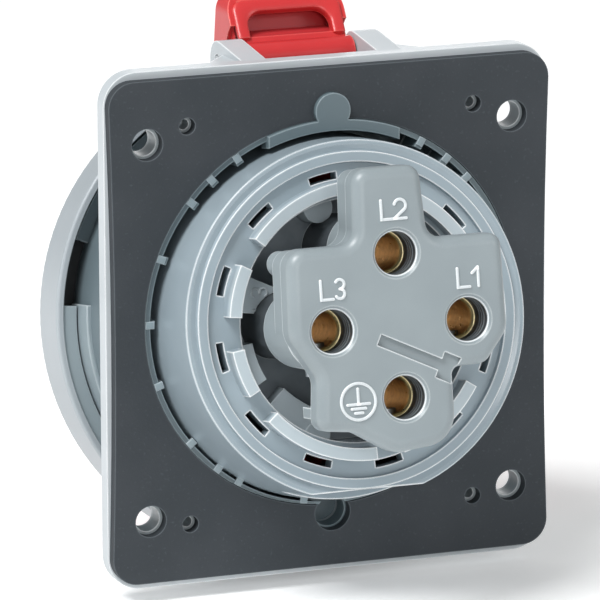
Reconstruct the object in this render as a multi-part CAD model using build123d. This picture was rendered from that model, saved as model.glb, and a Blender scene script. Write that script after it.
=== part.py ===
from build123d import *
import math
import os

# Panel-mounting industrial socket outlet, three phases and earth, 63 A size.
# All pieces are drawn from the panel face (rear face of the gasket) as Y = 0, and
# stored from the flange's rear face, which lies GASKET_T in front of it.
# The wiring side looks along +Y, the plug goes in from -Y, and +Z is up.
# The flat pieces are drawn in PANEL and the round ones in AXIS, whose axis dips
# towards the front.  In both, u is to the right seen from the wiring side, v is
# up and w is towards the wiring side.

# Collar of the flange moulding, the size that the others follow
COLLAR_R, COLLAR_WALL, COLLAR_FRONT = 54.5, 3.5, -40.0
RAMP_R, RAMP_T, RAMP_ARC, RAMP_FIRST = COLLAR_R + 3.3, 2.4, 40.0, 257.0
WEB_FRONT, WEB_T = -19.0, 5.0

# Flange and gasket
FLANGE_W, FLANGE_H, FLANGE_T = 2 * COLLAR_R + 8.0, 2 * COLLAR_R + 22.0, 6.0
FLANGE_CORNER = 8.5
FLANGE_BEVEL = 1.6
GASKET_W, GASKET_H, GASKET_T = FLANGE_W - 0.8, FLANGE_H - 3.8, 3.0
GASKET_CORNER = 6.5
GASKET_BOW = 1.0
FIX_U, FIX_V = FLANGE_W - 20.6, FLANGE_H - 35.6
FIX_HOLE_D = 6.4
PILOT_U, PILOT_V, PILOT_RISE = FLANGE_W - 41.4, FLANGE_H - 30.0, 1.1
PILOT_D, PILOT_DEPTH = 2.6, 4.0
GASKET_HOLE_PLAY = 1.6
FIT = 0.1

# Inclined axis
TILT = 10.0
AXIS_RISE = 0.3

# Contact housing
BARREL_R = COLLAR_R - 8.3
BARREL_REAR_R, BARREL_REAR = BARREL_R - 1.6, 17.4
BARREL_PLAY = 0.4
BARREL_FLAT = BARREL_R - 4.2
SEAT_R, SEAT_T = COLLAR_R - COLLAR_WALL - 0.4, 3.0
GUIDE_R, GUIDE_WALL, GUIDE_FRONT = BARREL_R - 5.2, 2.6, COLLAR_FRONT + 2.0
BOSS_R, BOSS_WALL, BOSS_FRONT = GUIDE_R - 8.0, 2.8, COLLAR_FRONT + 6.0
FLOOR_TOP, FLOOR_T = 16.8, 4.2
BEAD_R, BEAD_W, BEAD_TOP = BARREL_R - 7.3, 2.8, FLOOR_TOP + 1.4
TAB_IN, TAB_OUT, TAB_TOP = BOSS_R - 1.6, BOSS_R + 1.6, FLOOR_TOP + 4.6
TAB_ARCS = ((91, 140), (152, 174), (188, 208), (221, 273), (285, 327), (341, 363), (15, 62))
SLOT_IN, SLOT_OUT, SLOT_ARC = TAB_OUT + 0.6, TAB_OUT + 2.4, 11.5
SLOT_COUNT, SLOT_FIRST = 12, 100.0
SEAL_WIRE = 1.5
SEAL_SUNK = 0.9 * SEAL_WIRE
SEAL_W = WEB_FRONT + 2.5
SCREW_D, SCREW_L = 2.9, 7.6
SCREW_HEAD_D, SCREW_HEAD_H = 5.0, 2.2
SCREW_SLOT_W, SCREW_SLOT_DEPTH = 0.7, 1.6
SCREW_RING_R = BARREL_R + 1.7

# Cut-out of flange and gasket round the barrel, its wall, ribs, lug and notches
CUTOUT_R, CUTOUT_RISE = BARREL_R + 3.1, 1.4
NOTCH_R, NOTCH_OUT = 4.7, CUTOUT_R + 2.1
POCKET_PLAY = 0.5
WALL_T, WALL_PROUD = 1.4, 2.6
RIB_W, RIB_IN, RIB_BRIDGE = 2.0, 3.4, 1.1
RIB_ANGLES = (41, 50, 60, 121, 131, 140, 159, 179, 198, 219, 231, 239, 261, 290, 312, 335)
LUG_LEFT, LUG_RIGHT, LUG_PROUD, LUG_DEPTH = 17.0, 17.6, 4.4, 7.0

# Contacts, at the corners of a square
PITCH_R = BOSS_R - 15.45
PIN_D, EARTH_PIN_D = 8.0, 10.0
PIN_DEPTH = 24.0
SOCKET_WALL = 1.9
SOCKET_FRONT, SOCKET_REAR = BOSS_FRONT + 0.6, -8.0
SOCKET_SLOT, SOCKET_SLOT_L = 1.0, 17.0
TERMINAL_R, TERMINAL_REAR = 7.0, 38.6
WIRE_D, WIRE_DEPTH = 9.3, 24.0
SPRING_WIRE, SPRING_W = 1.0, SOCKET_FRONT + 2.9
CLAMP_D, CLAMP_L, CLAMP_W = 5.0, 8.0, TERMINAL_REAR - 5.1
CLAMP_TIP_IN = 1.2
CLAMP_HEX_R, CLAMP_HEX_DEPTH = 1.5, 2.5

# Pin plate and contact carrier inside the contact housing
PLATE_T = 3.0
PIN_HOLE_PLAY = 0.4
CARRIER_R, CARRIER_WALL = BOSS_R - BOSS_WALL - FIT, 2.2
CARRIER_DISC, CARRIER_DISC_T = 2.0, 3.0
# Raised fields of the carrier: first and last angle, inner radius, top station
FIELDS = ((154, 172, 0.71 * CARRIER_R, 13.5), (188, 209, 0.88 * CARRIER_R, 13.5),
          (222, 250, 0.78 * CARRIER_R, 10.0), (300, 326, 0.78 * CARRIER_R, 10.0))
# Round bosses on its edge: angle, distance from the axis, radius, top station
ROUND_BOSSES = ((102.6, 0.957 * CARRIER_R, 3.8, 12.0), (251.1, 0.985 * CARRIER_R, 3.3, 10.5))

# Insulating sleeves round the terminals, with the entry linings
SLEEVE_R = TERMINAL_R + FIT + 1.4
ENTRY_D = 10.6
LINING_WALL = 1.2
LINING_RING_W, LINING_RING_DEPTH, LINING_RING_PITCH, LINING_RINGS = 0.5, 0.25, 1.5, 3

# Terminal block and its cover
COVER_FACE = TERMINAL_REAR + 9.2
COVER_BOTTOM = COVER_FACE - 6.3
COVER_ROUND = 2.8
ENTRY_BEVEL = 0.9
BLOCK_BOTTOM, BLOCK_STEP, BLOCK_LOW_V = COVER_BOTTOM - 7.0, 0.6, -0.51 * PITCH_R
TOWER_R, TOWER_BOTTOM = SLEEVE_R + FIT + 1.4, 26.0
FOOT_R, FOOT_U, FOOT_V, FOOT_L = 3.2, -1.33 * PITCH_R, 0.92 * PITCH_R, 6.0
HOOK_W, HOOK_T, HOOK_L = 2.7, 2.5, 6.5
HOOK_U, HOOK_V = -1.18 * PITCH_R, -1.137 * PITCH_R
ACCESS_D = CLAMP_D + 1.0
GROOVE_W, GROOVE_L, GROOVE_DEPTH = 2.8, 17.2, 1.1
GROOVE_HEAD_W, GROOVE_HEAD_L = 4.6, 6.6
GROOVE_U, GROOVE_V, GROOVE_SLOPE = 0.108 * PITCH_R, -0.382 * PITCH_R, -25.5
# Corners of the cover with their rounding, in parts of the contacts' pitch radius
COVER_CORNERS = (((-0.552, 2.199), 0.228), ((0.444, 2.199), 0.199), ((0.513, 1.168), 0.228),
                 ((1.595, 1.162), 0.182), ((1.607, -0.199), 0.342), ((1.254, -0.638), 0.228),
                 ((0.752, -0.650), 0.114), ((0.752, -1.681), 0.456), ((-0.171, -1.766), 0.342),
                 ((-0.741, -1.425), 0.285), ((-1.299, -1.362), 0.182), ((-1.242, -0.655), 0.285),
                 ((-1.613, -0.057), 0.399), ((-1.584, 1.157), 0.256), ((-0.593, 1.157), 0.228))

# Locking ring
RING_WALL = 1.9
RING_R, RING_L = RAMP_R + RING_WALL + 1.8, 14.1
RING_LIP_T = 1.6
RING_PLAY = 0.4
RING_LUG_DEPTH, RING_LUG_L, RING_LUG_ARC, RING_LUG_FIRST = 1.8, 4.2, 40.0, 193.8
RING_ROUND = 0.8
RETAINER_T, RETAINER_SUNK, RETAINER_GAP = 1.0, 0.6, 5.0

# Hinge
HINGE_Y, HINGE_Z = -24.0, RING_R + 0.7
EAR_GAP, EAR_T, KNUCKLE_R = 29.4, 6.5, 5.2
EAR_ROOT_H = 13.0
EAR_PLAY, EAR_ROOM = 0.4, 4.3
GUSSET_W, GUSSET_H = 9.5, 8.2
PIN_R, PIN_PLAY = 1.75, 0.05
BARREL_HINGE_R = 4.1
HINGE_SPRING_WIRE, HINGE_SPRING_TURNS, HINGE_SPRING_GAP = 0.8, 6, 0.25
HINGE_SPRING_R = PIN_R + HINGE_SPRING_WIRE / 2 + 0.3
SPRING_ROOM_R = HINGE_SPRING_R + HINGE_SPRING_WIRE / 2 + 0.3
SPRING_ROOM_L = 9.0

# Lid
LID_REAR = COLLAR_FRONT - 2.0
LID_RIM_R, LID_RIM_T = RING_R - RING_WALL - RING_PLAY, 2.5
DOME_R, DOME_RISE, DOME_WALL = LID_RIM_R - 9.8, 9.0, 2.6
RETAINER_IN, RETAINER_FRONT = LID_RIM_R - 1.6, LID_REAR + RING_PLAY
LID_SEAL_IN, LID_SEAL_OUT = COLLAR_R - COLLAR_WALL - 0.6, RETAINER_IN - 0.3
LID_SEAL_SUNK, LID_SEAL_PLAY, LID_SEAL_ROUND = 1.2, 0.3, 0.6
RING_FRONT = LID_REAR - LID_RIM_T - RING_PLAY - RING_LIP_T
RING_REAR = RING_FRONT + RING_L
RING_LIP_IN = DOME_R + 0.9
LIFT_W, LIFT_RISE, LIFT_CORNER, LIFT_WALL = EAR_GAP + 1.6, 15.8, 6.0, 3.0
LIFT_L, LIFT_BACK = 4.5, 11.5
STRAP_W, STRAP_T, STRAP_REAR = 16.0, 3.0, 6.5
GRIP_W, GRIP_H, GRIP_L, GRIP_ROUND = 15.0, 2.0, 3.4, 1.4

PANEL = Plane(origin=(0, 0, 0), x_dir=(-1, 0, 0), z_dir=(0, 1, 0))
SIDE = Plane(origin=(0, 0, 0), x_dir=(0, 1, 0), z_dir=(1, 0, 0))
TILT_COS = math.cos(math.radians(TILT))
TILT_SIN = math.sin(math.radians(TILT))
AXIS = Plane(origin=(0, 0, AXIS_RISE), x_dir=(-1, 0, 0), z_dir=(0, TILT_COS, TILT_SIN))
FLANGE_REAR = -GASKET_T
FLANGE_FRONT = FLANGE_REAR - FLANGE_T
LOW = (Align.CENTER, Align.CENTER, Align.MIN)


def rod(radius, w_from, w_to):
    """A solid cylinder on the local axis between two stations."""
    return Pos(0, 0, w_from) * Cylinder(radius, w_to - w_from, align=LOW)


def tube(outer, inner, w_from, w_to):
    return rod(outer, w_from, w_to) - rod(inner, w_from - 1, w_to + 1)


def sector(outer, inner, w_from, w_to, start, end):
    """A piece of a tube between two angles, in degrees from u towards v."""
    reach = 2 * outer
    middle, half = (start + end) / 2, (end - start) / 2
    corners = [(0, 0), (reach, -reach * math.tan(math.radians(half))),
               (reach, reach * math.tan(math.radians(half)))]
    wedge = Pos(0, 0, w_from - 1) * extrude(make_face(Polyline(*corners, close=True)),
                                            w_to - w_from + 2)
    return tube(outer, inner, w_from, w_to) & (Rot(0, 0, middle) * wedge)


def revolved(points):
    """Turn an outline of (r, w) points about the local axis."""
    face = make_face(Polyline(*[(r, 0, w) for r, w in points], close=True))
    return revolve(face, Axis.Z)


def corner_places(u_spacing, v_spacing, rise=0.0):
    return [(i * u_spacing / 2, rise + j * v_spacing / 2) for i in (-1, 1) for j in (-1, 1)]


def barrel_room(clearance):
    """The space that the tilted barrel and its play take up."""
    return AXIS.location * rod(BARREL_R + clearance, WEB_FRONT - 30, 60)


def save(shape, name, colour):
    """Stores a piece in the frame of the flange's rear face."""
    shape = Pos(0, GASKET_T, 0) * shape
    shape.color = Color(colour)
    export_step(shape, f"parts/{name}.step")


def flange_plate():
    """Flange with its bevelled front edge, drawn in the panel frame."""
    outline = RectangleRounded(FLANGE_W, FLANGE_H, FLANGE_CORNER)
    plate = Pos(0, 0, FLANGE_FRONT) * extrude(outline, FLANGE_T)
    plate = chamfer(plate.faces().sort_by(Axis.Z)[0].edges(), FLANGE_BEVEL)
    plate -= Pos(0, CUTOUT_RISE, 0) * rod(CUTOUT_R - FIT - WALL_T, FLANGE_FRONT - 1, 0)
    return plate


def locating_wall():
    """Thin ring that centres the gasket, and its radial ribs."""
    top = FLANGE_REAR + WALL_PROUD
    outer = CUTOUT_R - FIT
    wall = tube(outer, outer - WALL_T, FLANGE_REAR - 1, top)
    rib = Pos(outer - WALL_T + RIB_BRIDGE, 0, FLANGE_FRONT) * Box(
        RIB_IN + RIB_BRIDGE, RIB_W, top - FLANGE_FRONT, align=(Align.MAX, Align.CENTER, Align.MIN))
    for angle in RIB_ANGLES:
        wall += Rot(0, 0, angle) * rib
    return Pos(0, CUTOUT_RISE, 0) * wall


def keying_lug():
    """Raised sector at the top, with the round key that enters the gasket notch."""
    top = FLANGE_REAR + LUG_PROUD
    outer = CUTOUT_R - FIT
    block = tube(outer, outer - LUG_DEPTH, FLANGE_REAR - 1, top)
    window = Pos((LUG_RIGHT - LUG_LEFT) / 2, outer, FLANGE_REAR - 2) * Box(
        LUG_LEFT + LUG_RIGHT, 40, LUG_PROUD + 4, align=LOW)
    key = Pos(0, NOTCH_OUT, 0) * rod(NOTCH_R - FIT, FLANGE_REAR - 1, top)
    return Pos(0, CUTOUT_RISE, 0) * ((block & window) + key)


def flange_holes():
    """Corner holes, blind pilot holes and the drain hole at the bottom."""
    cut = Pos(0, CUTOUT_RISE - NOTCH_OUT, 0) * rod(NOTCH_R - POCKET_PLAY, FLANGE_FRONT - 1, 1)
    for u, v in corner_places(FIX_U, FIX_V):
        cut += Pos(u, v, 0) * rod(FIX_HOLE_D / 2, FLANGE_FRONT - 1, 1)
    for u, v in corner_places(PILOT_U, PILOT_V, PILOT_RISE):
        cut += Pos(u, v, 0) * rod(PILOT_D / 2, FLANGE_REAR - PILOT_DEPTH, 1)
    return cut


def ear_profile():
    """Side outline of a hinge arm in world Y and Z, from the flange to the knuckle."""
    root_y = FLANGE_REAR - FLANGE_T / 2
    top_z = FLANGE_H / 2
    arm = make_face(Polyline((root_y, top_z - EAR_ROOT_H), (root_y, top_z),
                             (HINGE_Y + 1, HINGE_Z + KNUCKLE_R),
                             (HINGE_Y, HINGE_Z - KNUCKLE_R), close=True))
    return arm, Pos(HINGE_Y, HINGE_Z) * Circle(KNUCKLE_R)


def hinge_ears():
    """Two arms on the top of the flange with a gusset outside each."""
    ears = Part()
    root_y = FLANGE_FRONT + 1
    for hand in (-1, 1):
        inner = hand * EAR_GAP / 2
        outer = inner + hand * EAR_T
        for face in ear_profile():
            ears += extrude(SIDE.offset(inner) * face, hand * EAR_T)
        gusset = Polyline((outer, root_y), (outer + hand * GUSSET_W, root_y), (outer - hand, HINGE_Y + 3),
                          (outer - hand, root_y), close=True)
        ears += extrude(Plane.XY.offset(FLANGE_H / 2 - 0.8 - GUSSET_H) * make_face(gusset), GUSSET_H)
    return ears - hinge_line().location * rod(PIN_R + PIN_PLAY, -1, EAR_GAP + 2 * EAR_T + 1)


def screw_places():
    """Turns that carry a screw, drawn on the u axis, to its four places."""
    return [Rot(0, 0, 45 + 90 * k) * Pos(SCREW_RING_R, 0, 0) for k in range(4)]


def screw_holes():
    tip = WEB_FRONT - SEAT_T + SCREW_L + 3 * FIT
    hole = rod(SCREW_D / 2 + FIT / 2, WEB_FRONT - 1, tip)
    return Compound([AXIS.location * (place * hole) for place in screw_places()])


def flange_housing():
    """Square flange with the locating wall and the hinge arms."""
    flat = flange_plate() + locating_wall() + keying_lug() - flange_holes()
    return (PANEL.location * flat) + hinge_ears() - barrel_room(BARREL_PLAY) - screw_holes()


def collar():
    """Tilted collar with its front ramps and the web that carries the contact housing."""
    inner = COLLAR_R - COLLAR_WALL
    body = tube(COLLAR_R, inner, COLLAR_FRONT, 8)
    body += tube(inner + 1, BARREL_R + BARREL_PLAY, WEB_FRONT, WEB_FRONT + WEB_T)
    for k in range(3):
        middle = RAMP_FIRST + 120 * k
        body += sector(RAMP_R, COLLAR_R - 1, COLLAR_FRONT, COLLAR_FRONT + RAMP_T,
                       middle - RAMP_ARC / 2, middle + RAMP_ARC / 2)
    reach = 3 * COLLAR_R
    in_front = PANEL.location * (Pos(0, 0, FLANGE_FRONT) * Box(
        reach, reach, reach, align=(Align.CENTER, Align.CENTER, Align.MAX)))
    return ((AXIS.location * body) & in_front) - screw_holes()


def panel_gasket():
    """Soft sheet, its four sides bowed in a little between the corners."""
    u, v, r, bow = GASKET_W / 2, GASKET_H / 2, GASKET_CORNER, GASKET_BOW
    c = r * (1 - math.sqrt(0.5))
    edge = [Line((-u + r, v), (u - r, v)),
            ThreePointArc((u - r, v), (u - c, v - c), (u, v - r)),
            ThreePointArc((u, v - r), (u - bow, 0), (u, -v + r)),
            ThreePointArc((u, -v + r), (u - c, -v + c), (u - r, -v)),
            Line((u - r, -v), (-u + r, -v)),
            ThreePointArc((-u + r, -v), (-u + c, -v + c), (-u, -v + r)),
            ThreePointArc((-u, -v + r), (-u + bow, 0), (-u, v - r)),
            ThreePointArc((-u, v - r), (-u + c, v - c), (-u + r, v))]
    sheet = make_face(Wire(edge))
    sheet -= Pos(0, CUTOUT_RISE) * Circle(CUTOUT_R)
    for hand in (-1, 1):
        sheet -= Pos(0, CUTOUT_RISE + hand * NOTCH_OUT) * Circle(NOTCH_R)
    for u, v in corner_places(FIX_U, FIX_V):
        sheet -= Pos(u, v) * Circle((FIX_HOLE_D + GASKET_HOLE_PLAY) / 2)
    for u, v in corner_places(PILOT_U, PILOT_V, PILOT_RISE):
        sheet -= Pos(u, v) * Circle((PILOT_D + GASKET_HOLE_PLAY) / 2)
    return PANEL.location * extrude(sheet, -GASKET_T)


def contact_housing():
    """Turned form of the barrel, with its tabs, slots and bottom flat."""
    groove_r = BARREL_R - SEAL_SUNK
    seal_half = SEAL_WIRE / 2 + FIT
    seat_front = WEB_FRONT - SEAT_T
    outline = [(BARREL_R, WEB_FRONT), (SEAT_R, WEB_FRONT), (SEAT_R, seat_front),
               (GUIDE_R + GUIDE_WALL, seat_front), (GUIDE_R + GUIDE_WALL, GUIDE_FRONT),
               (GUIDE_R, GUIDE_FRONT), (GUIDE_R, FLOOR_TOP - FLOOR_T),
               (BOSS_R - BOSS_WALL, FLOOR_TOP - FLOOR_T), (BOSS_R - BOSS_WALL, FLOOR_TOP),
               (BEAD_R, FLOOR_TOP), (BEAD_R + 0.2, BEAD_TOP), (BEAD_R + BEAD_W, BEAD_TOP),
               (BEAD_R + BEAD_W + 0.2, BARREL_REAR - 0.4), (BARREL_REAR_R - 1.2, BARREL_REAR),
               (BARREL_REAR_R - 0.2, BARREL_REAR), (BARREL_REAR_R, BARREL_REAR - 0.3),
               (BARREL_R, SEAL_W + seal_half), (groove_r, SEAL_W + seal_half),
               (groove_r, SEAL_W - seal_half), (BARREL_R, SEAL_W - seal_half)]
    body = revolved(outline)
    for start, end in TAB_ARCS:
        body += sector(TAB_OUT, TAB_IN, FLOOR_TOP - 1, TAB_TOP, start, end)
    for k in range(SLOT_COUNT):
        middle = SLOT_FIRST + 360 / SLOT_COUNT * k
        body -= sector(SLOT_OUT, SLOT_IN, FLOOR_TOP - FLOOR_T - 1, TAB_TOP,
                       middle - SLOT_ARC / 2, middle + SLOT_ARC / 2)
    body -= Pos(0, -BARREL_FLAT, 2) * Box(3 * BARREL_R, 20, 30, align=(Align.CENTER, Align.MAX, Align.MIN))
    for place in screw_places():
        body -= place * rod(SCREW_D / 2 + 2 * FIT, seat_front - 1, WEB_FRONT + 0.5)
    return AXIS.location * body


def contact_shroud():
    """Inner tube that stands round the contacts, from the floor to the front."""
    return AXIS.location * tube(BOSS_R, BOSS_R - BOSS_WALL, BOSS_FRONT, FLOOR_TOP - FLOOR_T)


def housing_seal():
    centre_r = BARREL_R - SEAL_SUNK + SEAL_WIRE / 2 + FIT / 2
    section = Plane.XZ * (Pos(centre_r, SEAL_W) * Circle(SEAL_WIRE / 2))
    return AXIS.location * revolve(section, Axis.Z)


def housing_screws():
    """Four thread-forming screws from the front, through the seat into the web."""
    head_w = WEB_FRONT - SEAT_T
    head_top = head_w - SCREW_HEAD_H
    screw = rod(SCREW_D / 2, head_w, head_w + SCREW_L) + rod(SCREW_HEAD_D / 2, head_top, head_w)
    screw -= Pos(0, 0, head_top) * Box(SCREW_SLOT_W, SCREW_HEAD_D + 1, SCREW_SLOT_DEPTH)
    return Compound([AXIS.location * (place * screw) for place in screw_places()])


def contact_places():
    """Name, place and pin diameter of each contact, seen from the wiring side."""
    return {"l2": (0, PITCH_R, PIN_D), "l1": (PITCH_R, 0, PIN_D),
            "l3": (-PITCH_R, 0, PIN_D), "earth": (0, -PITCH_R, EARTH_PIN_D)}


def clamp_turn(name):
    """Angle of the clamp screw: up for L2, down for the others."""
    return 90 if name == "l2" else -90


def spring_groove_r(pin_d):
    """Floor of the groove that takes a sleeve spring flush with the sleeve."""
    return pin_d / 2 + SOCKET_WALL - SPRING_WIRE - FIT / 2


def contact(name):
    """Turned brass contact: slotted sleeve in front, clamp terminal behind."""
    u, v, pin_d = contact_places()[name]
    sleeve_r = pin_d / 2 + SOCKET_WALL
    body = rod(sleeve_r, SOCKET_FRONT, SOCKET_REAR + 0.5) + rod(TERMINAL_R, SOCKET_REAR, TERMINAL_REAR)
    groove_half = SPRING_WIRE / 2 + FIT
    body -= tube(sleeve_r + 1, spring_groove_r(pin_d), SPRING_W - groove_half, SPRING_W + groove_half)
    body -= rod(pin_d / 2, SOCKET_FRONT - 1, SOCKET_FRONT + PIN_DEPTH)
    body -= Pos(0, 0, SOCKET_FRONT - 1) * Box(SOCKET_SLOT, 2 * sleeve_r + 2, SOCKET_SLOT_L, align=LOW)
    body -= rod(WIRE_D / 2, TERMINAL_REAR - WIRE_DEPTH, TERMINAL_REAR + 1)
    clamp = Rot(0, 0, clamp_turn(name)) * (Pos(0, 0, CLAMP_W) * (Rot(0, 90, 0) * Cylinder(
        CLAMP_D / 2 + FIT / 2, 2 * TERMINAL_R, align=LOW)))
    body = chamfer((body - clamp).edges().filter_by(GeomType.CIRCLE).sort_by(Axis.Z)[-2:], 0.5)
    return AXIS.location * (Pos(u, v, 0) * body)


def sleeve_spring(name):
    """Round wire ring in the groove of a sleeve."""
    u, v, pin_d = contact_places()[name]
    ring_r = spring_groove_r(pin_d) + SPRING_WIRE / 2 + FIT / 4
    section = Plane.XZ * (Pos(ring_r, SPRING_W) * Circle(SPRING_WIRE / 2))
    return AXIS.location * (Pos(u, v, 0) * revolve(section, Axis.Z))


def clamp_screws():
    """Four socket set screws, each with its tip inside the wire bore."""
    start = WIRE_D / 2 - CLAMP_TIP_IN
    socket_start = start + CLAMP_L - CLAMP_HEX_DEPTH
    screws = []
    for name, (u, v, _) in contact_places().items():
        screw = rod(CLAMP_D / 2, start, start + CLAMP_L)
        screw -= Pos(0, 0, socket_start) * extrude(RegularPolygon(CLAMP_HEX_R, 6), CLAMP_HEX_DEPTH + 1)
        turned = Rot(0, 0, clamp_turn(name)) * (Pos(0, 0, CLAMP_W) * (Rot(0, 90, 0) * screw))
        screws.append(AXIS.location * (Pos(u, v, 0) * turned))
    return Compound(screws)


def pin_plate():
    """Front plate of the insert, with a hole for each pin."""
    body = rod(BOSS_R, BOSS_FRONT - PLATE_T, BOSS_FRONT)
    for u, v, pin_d in contact_places().values():
        body -= Pos(u, v, 0) * rod(pin_d / 2 + PIN_HOLE_PLAY, BOSS_FRONT - PLATE_T - 1, BOSS_FRONT + 1)
    return AXIS.location * body


def contact_carrier():
    """Dark insert: a skirt on the pin plate and a disc with raised fields round the sleeves."""
    body = tube(CARRIER_R, CARRIER_R - CARRIER_WALL, BOSS_FRONT, CARRIER_DISC + 1)
    body += rod(CARRIER_R, CARRIER_DISC, CARRIER_DISC + CARRIER_DISC_T)
    for start, end, inner, top in FIELDS:
        body += sector(CARRIER_R, inner, CARRIER_DISC + 1, top, start, end)
    for angle, out, radius, top in ROUND_BOSSES:
        boss = Rot(0, 0, angle) * (Pos(out, 0, 0) * rod(radius, CARRIER_DISC + 1, top))
        body += boss & rod(CARRIER_R, CARRIER_DISC, top)
    for u, v, _ in contact_places().values():
        body -= Pos(u, v, 0) * rod(SLEEVE_R + FIT, CARRIER_DISC - 1, TERMINAL_REAR)
    return AXIS.location * body


def clamp_access(name):
    """Round way through the walls to a clamp screw."""
    way = Pos(0, 0, CLAMP_W) * (Rot(0, 90, 0) * Cylinder(ACCESS_D / 2, 3 * TOWER_R, align=LOW))
    return Rot(0, 0, clamp_turn(name)) * way


def terminal_sleeve(name):
    """Dark insulating tube round a terminal, narrowed above it to line the wire entry."""
    u, v, _ = contact_places()[name]
    entry_r = ENTRY_D / 2
    shoulder = TERMINAL_REAR + FIT
    body = tube(SLEEVE_R, TERMINAL_R + FIT, BOSS_FRONT, shoulder)
    body += tube(entry_r + LINING_WALL, entry_r, shoulder, COVER_FACE - ENTRY_BEVEL)
    body += tube(SLEEVE_R, entry_r, shoulder, shoulder + LINING_WALL)
    for k in range(LINING_RINGS):
        start = COVER_FACE - ENTRY_BEVEL - (k + 1.5) * LINING_RING_PITCH
        body -= tube(entry_r + LINING_RING_DEPTH, entry_r - 1, start, start + LINING_RING_W)
    return AXIS.location * (Pos(u, v, 0) * (body - clamp_access(name)))


def cover_outline():
    """Clover outline of the terminal cover."""
    points = [(u * PITCH_R, v * PITCH_R) for (u, v), _ in COVER_CORNERS]
    path = FilletPolyline(*points, radius=[r * PITCH_R for _, r in COVER_CORNERS], close=True)
    return make_face(path)


def terminal_block():
    """Insulating block under the cover, with a tower round each sleeve and a foot."""
    height = COVER_BOTTOM - BLOCK_BOTTOM
    outline = offset(cover_outline(), -BLOCK_STEP)
    reach = 5 * PITCH_R
    upper = Pos(0, BLOCK_LOW_V, 0) * Box(reach, reach, 2 * reach, align=(Align.CENTER, Align.MIN, Align.CENTER))
    body = (Pos(0, 0, BLOCK_BOTTOM) * extrude(outline, height)) & upper
    for u, v, _ in contact_places().values():
        body += Pos(u, v, 0) * rod(TOWER_R, TOWER_BOTTOM, COVER_BOTTOM)
    body += Pos(FOOT_U, FOOT_V, 0) * rod(FOOT_R, BLOCK_BOTTOM - FOOT_L, BLOCK_BOTTOM + 1)
    for name, (u, v, _) in contact_places().items():
        body -= Pos(u, v, 0) * (rod(SLEEVE_R + FIT, TOWER_BOTTOM - 1, COVER_BOTTOM + 1) + clamp_access(name))
    return AXIS.location * body


def terminal_cover():
    """Marked cover over the block, with four wire entries, a snap hook and a groove."""
    block = Pos(0, 0, COVER_BOTTOM) * extrude(cover_outline(), COVER_FACE - COVER_BOTTOM)
    block = fillet(block.faces().sort_by(Axis.Z)[-1].edges(), COVER_ROUND)
    block += Pos(HOOK_U, HOOK_V, COVER_BOTTOM + 1) * Box(
        HOOK_T, HOOK_W, HOOK_L + 1, align=(Align.CENTER, Align.CENTER, Align.MAX))
    lining_r = ENTRY_D / 2 + LINING_WALL + FIT
    for u, v, _ in contact_places().values():
        entry = rod(lining_r, COVER_BOTTOM - 1, COVER_FACE - ENTRY_BEVEL)
        entry += Pos(0, 0, COVER_FACE - ENTRY_BEVEL) * Cone(
            ENTRY_D / 2, ENTRY_D / 2 + ENTRY_BEVEL, ENTRY_BEVEL, align=LOW)
        block -= Pos(u, v, 0) * entry
    head_at = (GROOVE_L + GROOVE_HEAD_W) / 2 - 0.2
    groove = Box(GROOVE_L, GROOVE_W, 2 * GROOVE_DEPTH)
    groove += Pos(head_at, 0, 0) * Box(GROOVE_HEAD_W, GROOVE_HEAD_L, 2 * GROOVE_DEPTH)
    groove = Pos(GROOVE_U, GROOVE_V, COVER_FACE) * (Rot(0, 0, GROOVE_SLOPE) * groove)
    return AXIS.location * (block - groove)


def hinge_line():
    """Plane whose local axis runs along the hinge, from the -X end."""
    return Plane(origin=(-EAR_GAP / 2 - EAR_T, HINGE_Y, HINGE_Z), z_dir=(1, 0, 0))


def hinge_pin():
    length = EAR_GAP + 2 * EAR_T
    pin = chamfer(rod(PIN_R, 0, length).edges().filter_by(GeomType.CIRCLE), 0.3)
    return hinge_line().location * pin


def lid_spring():
    """Torsion spring round the pin, inside the hollow end of the lid's barrel."""
    pitch = HINGE_SPRING_WIRE + HINGE_SPRING_GAP
    height = pitch * HINGE_SPRING_TURNS
    helix = Helix(pitch, height, HINGE_SPRING_R)
    start = helix @ 0
    coil = sweep(Plane(origin=start, z_dir=helix % 0) * Circle(HINGE_SPRING_WIRE / 2), path=helix)
    return hinge_line().location * (Pos(0, 0, EAR_T + EAR_PLAY + HINGE_SPRING_WIRE) * coil)


def side_block(points, width):
    """A prism across the hinge from a side outline in world Y and Z."""
    return extrude(SIDE * make_face(Polyline(*points, close=True)), width / 2, both=True)


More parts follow.
